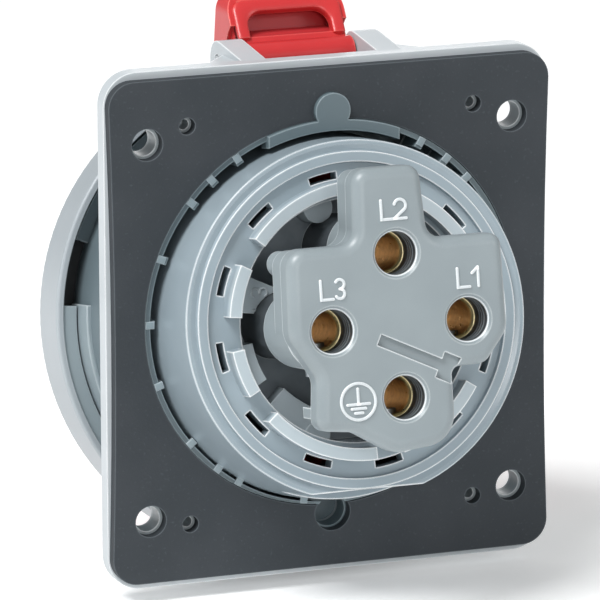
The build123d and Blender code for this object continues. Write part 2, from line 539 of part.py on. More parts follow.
def lift_tab():
    """Tab over the hinge with the recess that a fingertip lifts the lid by."""
    top = HINGE_Z + LIFT_RISE
    ceiling = top - LIFT_WALL
    top_rear = HINGE_Y - LIFT_BACK
    top_front = top_rear - LIFT_L
    floor = HINGE_Z + BARREL_HINGE_R + 0.2 * LIFT_WALL
    foot = HINGE_Z - BARREL_HINGE_R
    outline = [(HINGE_Y - 1, HINGE_Z + 0.6), (top_rear, top), (top_front, top),
               (top_front - LIFT_WALL, foot), (HINGE_Y - 1.1 * LIFT_BACK, foot)]
    recess = [(HINGE_Y + 0.5 * LIFT_WALL, floor), (HINGE_Y - 0.4 * LIFT_BACK, ceiling),
              (top_front + 0.6 * LIFT_WALL, ceiling), (HINGE_Y - LIFT_BACK, floor)]
    middle = Plane(origin=(0, 0, top - LIFT_W / 2), x_dir=(1, 0, 0), z_dir=(0, 1, 0))
    envelope = extrude(middle * RectangleRounded(LIFT_W, LIFT_W, LIFT_CORNER), 3 * LIFT_W, both=True)
    tab = (side_block(outline, LIFT_W) & envelope) - side_block(recess, LIFT_W - 2 * LIFT_WALL)
    grip = Pos(0, top_front + LIFT_L / 2, top - 0.5) * Box(GRIP_W, GRIP_L, GRIP_H + 0.5, align=LOW)
    return tab + fillet(grip.edges().filter_by(Axis.Y).sort_by(Axis.Z)[-2:], GRIP_ROUND)


def lid_strap():
    """Low narrow strap from the tab over the ring, then down in front of it to the dome."""
    over = RING_R + 2 * RING_PLAY
    rear = RING_REAR + STRAP_REAR
    front = RING_FRONT - RING_PLAY - STRAP_T
    rim_front = LID_REAR - LID_RIM_T
    root = 0.73 * DOME_R
    outline = [(over + STRAP_T, rear), (over + STRAP_T, front + STRAP_T), (over, front), (DOME_R, front),
               (root, front + 0.8 * STRAP_T), (DOME_R - STRAP_T, rim_front), (over, rim_front), (over, rear)]
    return AXIS.location * extrude(Plane.YZ * make_face(Polyline(*outline, close=True)), STRAP_W / 2, both=True)


def ear_room():
    """What the hinge arms sweep through as the lid turns."""
    room = Part()
    for hand in (-1, 1):
        place = Plane(origin=(hand * (EAR_GAP / 2 - EAR_PLAY), HINGE_Y, HINGE_Z), z_dir=(hand, 0, 0))
        room += place.location * rod(KNUCKLE_R + EAR_ROOM, 0, 2 * EAR_T)
    return room


def cap_height(radius, rise, at):
    """Height of a spherical cap above its rim plane, at a distance from its axis."""
    ball = (radius ** 2 + rise ** 2) / (2 * rise)
    return rise - ball + math.sqrt(ball ** 2 - at ** 2)


def lid_dome():
    """Rim disc and dome, drawn on the lid's axis."""
    rim_front = LID_REAR - LID_RIM_T
    seal_floor = LID_REAR - LID_SEAL_SUNK
    top = LID_REAR - DOME_RISE
    inner_r = DOME_R - DOME_WALL
    half = DOME_R / 2
    outer_rise = rim_front - top + DOME_WALL
    with BuildPart() as shell:
        with BuildSketch(Plane.XZ):
            with BuildLine():
                Line((0, top), (0, top - DOME_WALL))
                ThreePointArc((0, top - DOME_WALL),
                              (half, rim_front - cap_height(DOME_R, outer_rise, half)),
                              (DOME_R, rim_front))
                Polyline((DOME_R, rim_front), (LID_RIM_R, rim_front), (LID_RIM_R, LID_REAR),
                         (LID_SEAL_OUT + FIT, LID_REAR), (LID_SEAL_OUT + FIT, seal_floor),
                         (LID_SEAL_IN - FIT, seal_floor), (LID_SEAL_IN - FIT, LID_REAR),
                         (inner_r, LID_REAR))
                ThreePointArc((inner_r, LID_REAR),
                              (half, LID_REAR - cap_height(inner_r, DOME_RISE, half)),
                              (0, top))
            make_face()
        revolve(axis=Axis.Z)
    return AXIS.location * shell.part


def lid():
    """Red lid: dome, strap, lift tab and hinge barrel in one moulding."""
    barrel = rod(BARREL_HINGE_R, EAR_T + EAR_PLAY, EAR_T + EAR_GAP - EAR_PLAY)
    body = lid_dome() + lid_strap() + (lift_tab() - ear_room()) + (hinge_line().location * barrel)
    body -= hinge_line().location * rod(PIN_R + PIN_PLAY, 0, EAR_GAP + 2 * EAR_T)
    body -= hinge_line().location * rod(SPRING_ROOM_R, EAR_T, EAR_T + SPRING_ROOM_L)
    rim_front = LID_REAR - LID_RIM_T
    ring_room = tube(RING_R + 2 * RING_PLAY, RING_LIP_IN - RING_PLAY, RING_FRONT - RING_PLAY, rim_front)
    ring_room += tube(RING_R + 2 * RING_PLAY, LID_RIM_R, rim_front - 1, 0)
    return body - AXIS.location * ring_room


def lid_gasket():
    seal = tube(LID_SEAL_OUT, LID_SEAL_IN, LID_REAR - LID_SEAL_SUNK, COLLAR_FRONT - LID_SEAL_PLAY)
    edges = seal.faces().sort_by(Axis.Z)[-1].edges()
    return AXIS.location * fillet(edges, LID_SEAL_ROUND)


def locking_ring():
    """Bayonet ring: skirt, front lip, inner lugs and the groove for its retainer."""
    skirt_in = RING_R - RING_WALL
    body = tube(RING_R, skirt_in, RING_FRONT, RING_REAR)
    body += tube(skirt_in + 0.5, RING_LIP_IN, RING_FRONT, RING_FRONT + RING_LIP_T)
    circles = body.edges().filter_by(GeomType.CIRCLE)
    body = fillet([e for e in circles if abs(e.radius - RING_R) < FIT], RING_ROUND)
    lug_rear = COLLAR_FRONT + RAMP_T + RING_PLAY
    lug_in = RAMP_R - RING_LUG_DEPTH
    for k in range(3):
        middle = RING_LUG_FIRST + 120 * k
        body += sector(skirt_in + 0.5, lug_in, lug_rear, lug_rear + RING_LUG_L,
                       middle - RING_LUG_ARC / 2, middle + RING_LUG_ARC / 2)
    body -= tube(skirt_in + RETAINER_SUNK + FIT / 2, skirt_in - 1, RETAINER_FRONT - FIT / 2,
                 RETAINER_FRONT + RETAINER_T + FIT / 2)
    return AXIS.location * body


def ring_retainer():
    """Split wire ring that snaps into the locking ring behind the lid's rim."""
    outer = RING_R - RING_WALL + RETAINER_SUNK
    hoop = tube(outer, RETAINER_IN, RETAINER_FRONT, RETAINER_FRONT + RETAINER_T)
    gap = Pos(0, outer, RETAINER_FRONT - RETAINER_T) * Box(RETAINER_GAP, outer, 3 * RETAINER_T, align=LOW)
    return AXIS.location * (hoop - gap)


os.makedirs("parts", exist_ok=True)
save(flange_housing(), "flange_housing", 0xC9CED1)
save(collar(), "collar", 0xC9CED1)
save(panel_gasket(), "panel_gasket", 0x42464B)
save(contact_housing(), "contact_housing", 0xA9B5BC)
save(contact_shroud(), "contact_shroud", 0xA9B5BC)
save(housing_seal(), "housing_seal", 0x2A2C2E)
save(housing_screws(), "housing_screws", 0xB8BCC0)
save(pin_plate(), "pin_plate", 0x3B4045)
save(contact_carrier(), "contact_carrier", 0x4A5054)
save(terminal_block(), "terminal_block", 0xA8B0B4)
save(terminal_cover(), "terminal_cover", 0xA8B0B4)
save(clamp_screws(), "clamp_screws", 0x8E9296)
for contact_name in contact_places():
    save(contact(contact_name), f"contact_{contact_name}", 0xB08040)
    save(terminal_sleeve(contact_name), f"terminal_sleeve_{contact_name}", 0x3B4045)
    save(sleeve_spring(contact_name), f"sleeve_spring_{contact_name}", 0x9A9EA2)
save(hinge_pin(), "hinge_pin", 0xB8BCC0)
save(lid_spring(), "lid_spring", 0x9A9EA2)
save(lid(), "lid", 0xD8262A)
save(lid_gasket(), "lid_gasket", 0x2A2C2E)
save(locking_ring(), "locking_ring", 0xC9CED1)
save(ring_retainer(), "ring_retainer", 0x34373A)
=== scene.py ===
import math

import bmesh
import bpy
import numpy as np
from mathutils import Matrix, Vector


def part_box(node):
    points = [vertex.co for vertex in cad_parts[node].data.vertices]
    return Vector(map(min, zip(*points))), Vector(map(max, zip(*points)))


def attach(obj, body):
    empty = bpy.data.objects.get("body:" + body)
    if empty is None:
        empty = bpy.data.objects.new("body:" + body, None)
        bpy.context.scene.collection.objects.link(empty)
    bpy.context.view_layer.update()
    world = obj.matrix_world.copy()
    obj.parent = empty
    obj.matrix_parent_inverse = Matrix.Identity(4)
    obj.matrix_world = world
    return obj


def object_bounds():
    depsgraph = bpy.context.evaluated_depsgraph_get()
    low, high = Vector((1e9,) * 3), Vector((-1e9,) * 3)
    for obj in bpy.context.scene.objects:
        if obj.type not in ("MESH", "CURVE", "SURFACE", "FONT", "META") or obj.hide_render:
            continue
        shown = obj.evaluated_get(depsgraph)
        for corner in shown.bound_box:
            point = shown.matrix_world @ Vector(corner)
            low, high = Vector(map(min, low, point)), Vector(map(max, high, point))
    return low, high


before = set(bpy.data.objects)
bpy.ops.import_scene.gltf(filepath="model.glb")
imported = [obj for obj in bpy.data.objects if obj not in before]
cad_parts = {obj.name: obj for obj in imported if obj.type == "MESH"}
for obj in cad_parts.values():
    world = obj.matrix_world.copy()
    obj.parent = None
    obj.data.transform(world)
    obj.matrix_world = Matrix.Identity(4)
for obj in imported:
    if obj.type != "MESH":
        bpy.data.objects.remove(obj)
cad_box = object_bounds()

# Industrial socket outlet for three phases and earth, seen from its wiring side.
# The flange's rear face is Y = 0, the wiring side is +Y and up is +Z.  Sizes are in
# millimetres, apart from the studio's and the camera's, which are in metres.

# Flange housing: the square plate that is screwed to the panel, with two hinge
# arms, a wall and ribs that centre the gasket, and a lug that keys it.
# Injection-moulded polyamide, eroded satin outside; inside the gasket it is painted darker, a painted shade.


def linear(hex_text):
    """An sRGB hex colour as linear RGBA."""
    parts = np.array([int(hex_text[i:i + 2], 16) for i in (1, 3, 5)]) / 255
    low = parts / 12.92
    high = ((parts + 0.055) / 1.055) ** 2.4
    return (*np.where(parts <= 0.04045, low, high).tolist(), 1.0)


def add_node(tree, kind, settings=None, inputs=None):
    """Adds a shader node, sets its settings, and sets or links its inputs by name or number."""
    made = tree.nodes.new(kind)
    for name, value in (settings or {}).items():
        setattr(made, name, value)
    for key, value in (inputs or {}).items():
        if isinstance(value, bpy.types.NodeSocket):
            tree.links.new(value, made.inputs[key])
        else:
            made.inputs[key].default_value = value
    return made


def begin(name):
    """A new material, its tree, its shader and the place on the piece in metres."""
    material = bpy.data.materials.new(name)
    material.use_nodes = True
    tree = material.node_tree
    place = add_node(tree, "ShaderNodeTexCoord").outputs["Object"]
    return material, tree, tree.nodes["Principled BSDF"], place


def share(tree, *fades, whole=1.0):
    """How much of a shade a place gets, at most whole.  Each fade is a value, where the shade ends and where
    it is full: its share is the way from the one to the other, held between 0 and 1, and all the shares are
    multiplied."""
    for value, ends, full in fades:
        whole = add_node(tree, "ShaderNodeMapRange", None, {
            "Value": value, "From Min": ends, "From Max": full, "To Max": whole}).outputs["Result"]
    return whole


def layered(tree, base, *coats):
    """The colour of a base shade with others laid over it, each given as its share and its shade."""
    for cover, coat in coats:
        shades = [linear(shade) if isinstance(shade, str) else shade for shade in (base, coat)]
        base = add_node(tree, "ShaderNodeMix", {"data_type": "RGBA"}, {
            "Factor": cover, "A": shades[0], "B": shades[1]}).outputs["Result"]
    return base


def painted_edges_and_grain(tree, shader, place, shade, edge_highlight, grain_mm, grain, edge_mm=0.4):
    """Colour and relief of a moulded polymer: outer edges painted a little lighter, a painted highlight where
    light would gather, all edges softly rounded, and the fine grain of an eroded mould."""
    inside = {"samples": 6, "inside": True, "only_local": True}
    thin = add_node(tree, "ShaderNodeAmbientOcclusion", inside, {"Distance": edge_mm / 1000})
    # Painted highlight: near convex edges the lighter edge shade is laid over the colour.
    edge = share(tree, (thin.outputs["AO"], 0.95, 0.6))
    tree.links.new(layered(tree, shade, (edge, edge_highlight)), shader.inputs["Base Color"])
    rounding = add_node(tree, "ShaderNodeBevel", {"samples": 6}, {"Radius": edge_mm / 1000})
    tool = add_node(tree, "ShaderNodeTexNoise", None, {
        "Vector": place, "Scale": 1000 / grain_mm, "Detail": 2.0})
    relief = add_node(tree, "ShaderNodeBump", None, {
        "Height": tool.outputs["Fac"], "Strength": grain, "Distance": grain_mm / 1000,
        "Normal": rounding.outputs["Normal"]})
    tree.links.new(relief.outputs["Normal"], shader.inputs["Normal"])


def drifting(tree, place, shade, other, size_mm):
    """Two close shades that drift into each other, as pigment does in a large moulding."""
    drift = add_node(tree, "ShaderNodeTexNoise", None, {
        "Vector": place, "Scale": 1000 / size_mm, "Detail": 3.0})
    return layered(tree, shade, (share(tree, (drift.outputs["Fac"], 0.35, 0.65)), other))


def in_millimetres(tree, place, centre=(0, 0, 0)):
    """A place in metres as one in millimetres, measured from a centre in millimetres."""
    return add_node(tree, "ShaderNodeVectorMath", {"operation": "MULTIPLY_ADD"}, {
        0: place, 1: (1000, 1000, 1000), 2: [-value for value in centre]}).outputs["Vector"]


FADE = 0.3
# Where painted shade lies on the flange: down the screw holes, in the gasket's cut-out and on the wall's top.
HOLES_INSET, HOLES_FADE, HOLES_FRONT = 3.5, 0.5, -5.0
CUTOUT_RISE, INNER_OUT = 1.4, 60.0
WALL_IN, WALL_OUT, WALL_FADE, KEY_FOOT, KEY_FADE = 47.8, 49.2, 0.6, 44.0, 1.0


def flange_polyamide():
    """Light grey satin on the rim and in front, with painted shade down the screw holes.  What the gasket's
    cut-out shows is painted a darker blue-grey, painted shade, darkest on the wall's top up to the keying
    lug, and its painted edge highlight is dimmer."""
    material, tree, shader, place = begin("flange_moulded_polyamide")
    at = add_node(tree, "ShaderNodeSeparateXYZ", None, {"Vector": in_millimetres(tree, place)}).outputs
    across, height = (add_node(tree, "ShaderNodeMath", {"operation": "ABSOLUTE"}, {
        0: at[key]}).outputs["Value"] for key in "XZ")
    side, _, top = (1000 * edge - HOLES_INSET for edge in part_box("panel_gasket")[1])
    # Painted shade down the screw holes.
    holes = share(tree, (across, side, side - HOLES_FADE), (height, top, top - HOLES_FADE),
                  (at["Y"], HOLES_FRONT, HOLES_FRONT + FADE))
    spot = add_node(tree, "ShaderNodeVectorMath", {"operation": "MULTIPLY"}, {
        0: in_millimetres(tree, place, (0, 0, CUTOUT_RISE)), 1: (1, 0, 1)})
    out = add_node(tree, "ShaderNodeVectorMath", {"operation": "LENGTH"}, {
        0: spot.outputs["Vector"]}).outputs["Value"]
    # Painted shade in the gasket's cut-out, darkest on the wall's top.
    inner = share(tree, (out, INNER_OUT + FADE, INNER_OUT), whole=holes)
    wall = share(tree, (out, WALL_IN - WALL_FADE, WALL_IN), (out, WALL_OUT + FADE, WALL_OUT),
                 (at["Z"], KEY_FOOT, KEY_FOOT - KEY_FADE))
    outside = drifting(tree, place, "#BAC0C4", "#B2B9BD", 25)
    inside = layered(tree, "#5B6A70", (wall, "#4E5C62"))
    shade = layered(tree, outside, (holes, "#9FA8AC"), (inner, inside))
    edge_highlight = layered(tree, "#E8ECEE", (inner, "#8A989D"))
    painted_edges_and_grain(tree, shader, place, shade, edge_highlight, grain_mm=0.35, grain=0.05)
    shader.inputs["Roughness"].default_value = 0.40
    shader.inputs["IOR"].default_value = 1.53
    return material


def dress(material, *names):
    """Gives CAD nodes one material."""
    for name in names:
        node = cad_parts[name]
        if not node.material_slots:
            node.data.materials.append(material)
        for slot in node.material_slots:
            slot.material = material


dress(flange_polyamide(), "flange_housing")

# Rib tops: the small lands on the ribs of the locating wall, which the gasket is pressed over.  Moulded with
# the flange, their faces polished by the mould and painted lighter than the wall beside them, as painted
# light.
RIB_ANGLES = (41, 50, 60, 121, 131, 140, 159, 179, 198, 219, 231, 239, 261, 290, 312, 335)
RIB_TOP, RIB_FROM, RIB_TO = 2.6, 46.9, 49.0
RIB_STROKE, RIB_HEIGHT, RIB_END, RIB_SUNK = 2.0, 0.25, 0.12, 0.3
MERGED, SLIVER = 1e-7, 1e-8


def band(left, right, height, crown=0.5, closed=False, across=9):
    """A raised surface between two lines of (u, v) points, as a grid of (u, v, height) and whether it is a
    loop.  From line to line it goes as the cosine of an angle, and up as a power, crown, of its sine.  The
    height may be one value or one for each point."""
    angle = np.linspace(0, math.pi, across)
    middle, half = (left + right) / 2, (left - right) / 2
    flat = middle[:, None] + half[:, None] * np.cos(angle)[None, :, None]
    up = (np.sin(angle).clip(0) ** crown)[None] * np.broadcast_to(height, len(left))[:, None]
    return np.dstack([flat, up]), closed


def bead(path, width, height, end=None, closed=False, crown=0.5, ends=5, across=9):
    """A raised stroke over a path of (u, v) points: a band between the lines half its width to each side.  At
    an open end its width and height shrink as a quarter ellipse of length end, which is half the width if
    not given, so that the end is round."""
    path = np.asarray(path, float)
    step = np.roll(path, -1, 0) - path if closed else np.diff(path, axis=0)
    step /= np.linalg.norm(step, axis=1, keepdims=True)
    before = np.roll(step, 1, 0) if closed else np.vstack([step[:1], step])
    after = step if closed else np.vstack([step, step[-1:]])
    side = np.stack([-(before + after)[:, 1], (before + after)[:, 0]], axis=-1)
    side /= (1 + (before * after).sum(1))[:, None]
    size = np.ones(len(path))
    if not closed:
        quarter = np.linspace(0, math.pi / 2, ends + 1)[:-1]
        back = np.cos(quarter)[:, None] * (width / 2 if end is None else end)
        path = np.vstack([path[0] - step[0] * back, path, (path[-1] + step[-1] * back)[::-1]])
        side = np.vstack([np.repeat(side[:1], ends, 0), side, np.repeat(side[-1:], ends, 0)])
        size = np.concatenate([np.sin(quarter), size, np.sin(quarter)[::-1]])
    half = side * size[:, None] * width / 2
    return band(path + half, path - half, height * size, crown, closed, across)


def raised_piece(name, strokes, place, sunk, material):
    """Joins raised strokes into one piece, where place turns (u, v, height) in millimetres into metres.
    Each grid of points is closed below by a second sheet, sunk into the face that carries it.  Points nearer
    than MERGED metres become one, and edges under SLIVER go."""
    points, faces, count = [], [], 0
    for grid, closed in strokes:
        rows, columns = grid.shape[:2]
        floor = grid[:, ::-1].copy()
        floor[..., 2] = -sunk
        loop = np.concatenate([grid, floor], axis=1)
        points.append(place(loop[..., 0], loop[..., 1], loop[..., 2]).reshape(-1, 3))
        row = np.arange(rows if closed else rows - 1)[:, None]
        column = np.arange(2 * columns)[None]
        ahead, beside = (row + 1) % rows, (column + 1) % (2 * columns)
        corners = [row * 2 * columns + column, row * 2 * columns + beside,
                   ahead * 2 * columns + beside, ahead * 2 * columns + column]
        faces.append(count + np.stack(corners, axis=-1).reshape(-1, 4))
        count += rows * 2 * columns
    mesh = bpy.data.meshes.new(name)
    mesh.from_pydata(np.concatenate(points).tolist(), [], np.concatenate(faces).tolist())
    work = bmesh.new()
    work.from_mesh(mesh)
    bmesh.ops.remove_doubles(work, verts=work.verts, dist=MERGED)
    bmesh.ops.dissolve_degenerate(work, dist=SLIVER, edges=work.edges)
    bmesh.ops.recalc_face_normals(work, faces=work.faces)
    work.to_mesh(mesh)
    work.free()
    mesh.materials.append(material)
    piece = bpy.data.objects.new(name, mesh)
    bpy.context.scene.collection.objects.link(piece)
    return piece


def on_panel(u, v, height):
    """Places in metres on the locating wall's top: u to the right seen from behind, v up from its centre."""
    return np.stack([-u, RIB_TOP + height, CUTOUT_RISE + v], axis=-1) / 1000


def rib_strokes():
    """One short radial stroke for each rib: the cosine and sine of its angle times two radii."""
    angles = np.radians(RIB_ANGLES)
    return [bead(np.outer((RIB_FROM, RIB_TO), direction), RIB_STROKE, RIB_HEIGHT, RIB_END)
            for direction in np.stack([np.cos(angles), np.sin(angles)], axis=-1)]


def rib_polyamide():
    """The flange's blue-grey, glossier where the mould is polished and painted lighter, as painted light."""
    material, tree, shader, place = begin("rib_painted_light_polyamide")
    shade = drifting(tree, place, "#7F8E94", "#87959B", 8)
    painted_edges_and_grain(tree, shader, place, shade, "#B9C4C9", grain_mm=0.3, grain=0.04, edge_mm=0.3)
    shader.inputs["Roughness"].default_value = 0.35
    return material


ribs = raised_piece("locating_rib_tops", rib_strokes(), on_panel, RIB_SUNK, rib_polyamide())
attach(ribs, "base")

# Collar: the tilted tube in front of the flange, with the web that carries the contact housing and the ramps
# that the locking ring pulls up on.  Polyamide painted a dark blue-grey like the inside of the flange:
# painted shade of the gap under the ring.


def collar_polyamide():
    """Blue-grey satin, painted as dark as the flange's inside: painted shade."""
    material, tree, shader, place = begin("collar_painted_shade_polyamide")
    shade = drifting(tree, place, "#67757B", "#606E74", 25)
    painted_edges_and_grain(tree, shader, place, shade, "#9AA6AB", grain_mm=0.35, grain=0.05)
    shader.inputs["Roughness"].default_value = 0.40
    shader.inputs["IOR"].default_value = 1.53
    return material


dress(collar_polyamide(), "collar")

# Collar pads: three low lands on the collar behind its ramps, which the ring's lugs run over as it turns.
# Moulded with the collar, glossier where the steel is polished, and painted paler than it, as painted light.
TILT = math.radians(10.0)
AXIS_ALONG = (0.0, math.cos(TILT), math.sin(TILT))
AXIS_RISE, PANEL_FACE = 0.3, 3.0
AXIS_START = (0.0, PANEL_FACE, AXIS_RISE)
COLLAR_R, PAD_COUNT, PAD_FIRST, PAD_ARC = 54.5, 3, 193.8, 41.0
PAD_FRONT, PAD_REAR, PAD_HEIGHT, PAD_SUNK, PAD_END, PAD_CROWN = -38.6, -26.5, 1.1, 0.3, 0.5, 0.06
PAD_ROWS, PAD_COLUMNS = 5, 41


def on_axis(u, v, w):
    """Places in metres for u to the right, v up and w along the contacts' tilted axis, in millimetres."""
    y = PANEL_FACE + w * math.cos(TILT) - v * math.sin(TILT)
    z = AXIS_RISE + v * math.cos(TILT) + w * math.sin(TILT)
    return np.stack([-u, y, z], axis=-1) / 1000


def on_collar(u, v, height):
    """Places in metres on the collar: u round it from the middle of the first pad, v along its axis."""
    angle = math.radians(PAD_FIRST) + u / COLLAR_R
    return on_axis((COLLAR_R + height) * np.cos(angle), (COLLAR_R + height) * np.sin(angle), v)


def pad_polyamide():
    """The collar's blue-grey, glossier where the mould is polished and painted paler, as painted light."""
    material, tree, shader, place = begin("pad_painted_light_polyamide")
    shade = drifting(tree, place, "#8F9CA1", "#88959B", 20)
    painted_edges_and_grain(tree, shader, place, shade, "#C9D2D6", grain_mm=0.35, grain=0.04)
    shader.inputs["Roughness"].default_value = 0.33
    return material


def pad_strokes():
    """One broad stroke along the axis for each pad: its middle an equal share of the round further on, and
    its width the pad's arc, both as the angle times the collar's radius."""
    middles = np.radians(np.arange(PAD_COUNT) * 360 / PAD_COUNT) * COLLAR_R
    along = np.linspace(PAD_FRONT, PAD_REAR, PAD_ROWS)
    return [bead(np.stack([np.full(PAD_ROWS, middle), along], axis=-1), math.radians(PAD_ARC) * COLLAR_R,
                 PAD_HEIGHT, PAD_END, crown=PAD_CROWN, across=PAD_COLUMNS) for middle in middles]


pads = raised_piece("collar_pads", pad_strokes(), on_collar, PAD_SUNK, pad_polyamide())
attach(pads, "base")

# Panel gasket: a soft sheet with the holes of the flange, die-cut from closed-cell
# rubber and held by the locating wall.  Its cut cells give a fine dull speckle.
PORE_DRAWN = 0.8


def cellular_rubber():
    """Charcoal, matt, with pores about 0.4 mm across, which are drawn twice as coarse so that they show, and
    a slow mottle from handling."""
    material, tree, shader, place = begin("gasket_cellular_rubber")
    pores = add_node(tree, "ShaderNodeTexNoise", None, {
        "Vector": place, "Scale": 1000 / PORE_DRAWN, "Detail": 2.0})
    mottle = drifting(tree, place, "#2D3338", "#33383D", 18)
    shade = layered(tree, mottle, (share(tree, (pores.outputs["Fac"], 0.62, 0.8), whole=0.3), "#565C61"))
    # Painted highlight: the gasket's edges are painted lighter.
    painted_edges_and_grain(tree, shader, place, shade, "#596065", grain_mm=PORE_DRAWN, grain=0.12, edge_mm=0.3)
    shader.inputs["Roughness"].default_value = 0.72
    shader.inputs["IOR"].default_value = 1.45
    return material


dress(cellular_rubber(), "panel_gasket")

# Contact housing and its shroud: the blue-grey barrel that holds the insert, with
# a stepped rim, snap tabs and slots, and the inner tube round the contacts.
# Moulded in a glossier, slightly translucent polyester.
# Stations along the axis between which the painted light on the snap tabs fades in.
TABS_END, TABS_FULL = 18.6, 20.4


def station(tree, place):
    """How far a place lies along the tilted axis from the panel's face, in millimetres."""
    return add_node(tree, "ShaderNodeVectorMath", {"operation": "DOT_PRODUCT"}, {
        0: in_millimetres(tree, place, AXIS_START), 1: AXIS_ALONG}).outputs["Value"]


def barrel_polyester():
    """Cool blue-grey that lets a little light through, with a clear skin from the polished mould; the snap
    tabs' tops are painted palest, as painted light, and the edges get a near white painted highlight."""
    material, tree, shader, place = begin("barrel_moulded_polyester")
    # Painted light: above the tabs' foot the colour turns palest.
    tabs = share(tree, (station(tree, place), TABS_END, TABS_FULL))
    shade = layered(tree, drifting(tree, place, "#97A5AD", "#8E9CA4", 30), (tabs, "#B6C2C8"))
    painted_edges_and_grain(tree, shader, place, shade, "#F4F7F8", grain_mm=0.5, grain=0.03, edge_mm=0.45)
    shader.inputs["Roughness"].default_value = 0.27
    shader.inputs["IOR"].default_value = 1.57
    shader.inputs["Subsurface Weight"].default_value = 0.12
    shader.inputs["Subsurface Radius"].default_value = (0.003, 0.003, 0.003)
    shader.inputs["Coat Weight"].default_value = 0.25
    shader.inputs["Coat Roughness"].default_value = 0.18
    return material


dress(barrel_polyester(), "contact_housing", "contact_shroud")

# Seals: the ring in the barrel's groove and the flat seal that the lid closes on.
# Moulded black rubber, dull, its edges painted lighter as a painted highlight.


def seal_rubber():
    """Near black, matt, its edges painted lighter: a painted highlight."""
    material, tree, shader, place = begin("seal_moulded_rubber")
    shade = drifting(tree, place, "#222426", "#282A2C", 12)
    painted_edges_and_grain(tree, shader, place, shade, "#3A3D40", grain_mm=0.5, grain=0.08, edge_mm=0.3)
    shader.inputs["Roughness"].default_value = 0.6
    return material


dress(seal_rubber(), "housing_seal", "lid_gasket")

# Insert: pin plate, contact carrier and the sleeves round the terminals, pushed into the shroud from both
# ends.  Moulded in glass-filled polyamide, the carrier mid grey and the rest dark; the carrier's mid grey is
# painted light for the deep cavity.
FIBRE, RAISED_END, RAISED_FULL = 3.0, 5.5, 8.0


def insert_polyamide(name, shade, other, edge_highlight, raised=None):
    """Grey with the faint streaks that glass fibre leaves, about a FIBRE long.  A lighter raised shade, where
    given, takes over above the carrier's disc: painted light on the raised parts."""
    material, tree, shader, place = begin(name)
    fibres = add_node(tree, "ShaderNodeTexNoise", None, {
        "Vector": place, "Scale": 1000 / FIBRE, "Detail": 5.0})
    mottled = layered(tree, shade, (share(tree, (fibres.outputs["Fac"], 0.4, 0.65)), other))
    if raised:
        # Painted light: above the disc the raised shade is laid over the colour.
        above = share(tree, (station(tree, place), RAISED_END, RAISED_FULL))
        mottled = layered(tree, mottled, (above, raised))
    painted_edges_and_grain(tree, shader, place, mottled, edge_highlight, grain_mm=0.3, grain=0.06, edge_mm=0.3)
    shader.inputs["Roughness"].default_value = 0.42
    shader.inputs["IOR"].default_value = 1.55
    return material


# The carrier's mid grey and its lighter raised shade are painted light.
dress(insert_polyamide("carrier_glass_filled_polyamide", "#7E878D", "#767F85", "#C6D0D4", "#AEBAC0"),
      "contact_carrier")
# The sleeves' lighter edges are a painted highlight.
dress(insert_polyamide("sleeve_glass_filled_polyamide", "#3E4448", "#373D41", "#7F888D"), "pin_plate",
      "terminal_sleeve_l1", "terminal_sleeve_l2", "terminal_sleeve_l3", "terminal_sleeve_earth")

# Contacts: four turned pieces, a slotted sleeve for the pin in front and a bored terminal for the wire
# behind.  Free-cutting brass, the faced end painted bright as a painted highlight and browner down the bore,
# with the fine rings that the tool leaves.
FEED, RING_DEPTH, TURNED_EDGE = 0.6, 0.05, 0.3
END_HIGHLIGHT_FROM, END_HIGHLIGHT_FULL, TARNISH = 36.1, 37.8, 1.6


def uneven_shine(tree, shader, pattern, smooth, rough):
    """Roughness that goes from smooth to rough as a pattern goes from 0.3 to 0.7."""
    shine = add_node(tree, "ShaderNodeMapRange", None, {
        "Value": pattern, "From Min": 0.3, "From Max": 0.7, "To Min": smooth, "To Max": rough})
    tree.links.new(shine.outputs["Result"], shader.inputs["Roughness"])


def turned_brass():
    """Yellow metal: rings a FEED apart along the axis, drawn twice as coarse as a real feed so that they
    show, spots of tarnish about TARNISH across, and the faced end painted much lighter than the bore, a
    painted highlight."""
    material, tree, shader, place = begin("contact_turned_brass")
    along = station(tree, place)
    tarnish = add_node(tree, "ShaderNodeTexNoise", None, {
        "Vector": place, "Scale": 1000 / TARNISH, "Detail": 4.0})
    clean = share(tree, (tarnish.outputs["Fac"], 0.35, 0.65))
    # Painted highlight: towards the faced end the colour turns near white.
    faced = share(tree, (along, END_HIGHLIGHT_FROM, END_HIGHLIGHT_FULL))
    shade = layered(tree, "#C2A37A", (clean, "#E2C496"), (faced, "#FBEBB8"))
    tree.links.new(shade, shader.inputs["Base Color"])
    turn = add_node(tree, "ShaderNodeMath", {"operation": "MULTIPLY"}, {0: along, 1: 2 * math.pi / FEED})
    rings = add_node(tree, "ShaderNodeMath", {"operation": "SINE"}, {0: turn.outputs["Value"]})
    rounding = add_node(tree, "ShaderNodeBevel", {"samples": 6}, {"Radius": TURNED_EDGE / 1000})
    relief = add_node(tree, "ShaderNodeBump", None, {
        "Height": rings.outputs["Value"], "Strength": 0.35, "Distance": RING_DEPTH / 1000,
        "Normal": rounding.outputs["Normal"]})
    tree.links.new(relief.outputs["Normal"], shader.inputs["Normal"])
    uneven_shine(tree, shader, tarnish.outputs["Fac"], 0.26, 0.42)
    shader.inputs["Metallic"].default_value = 1.0
    return material


dress(turned_brass(), "contact_l1", "contact_l2", "contact_l3", "contact_earth")

# Steel pieces: housing and clamp screws, the hinge pin, and the wire springs of
# the sleeves and the lid.  Zinc-plated, with a soft uneven shine.
PATCH = 2.0


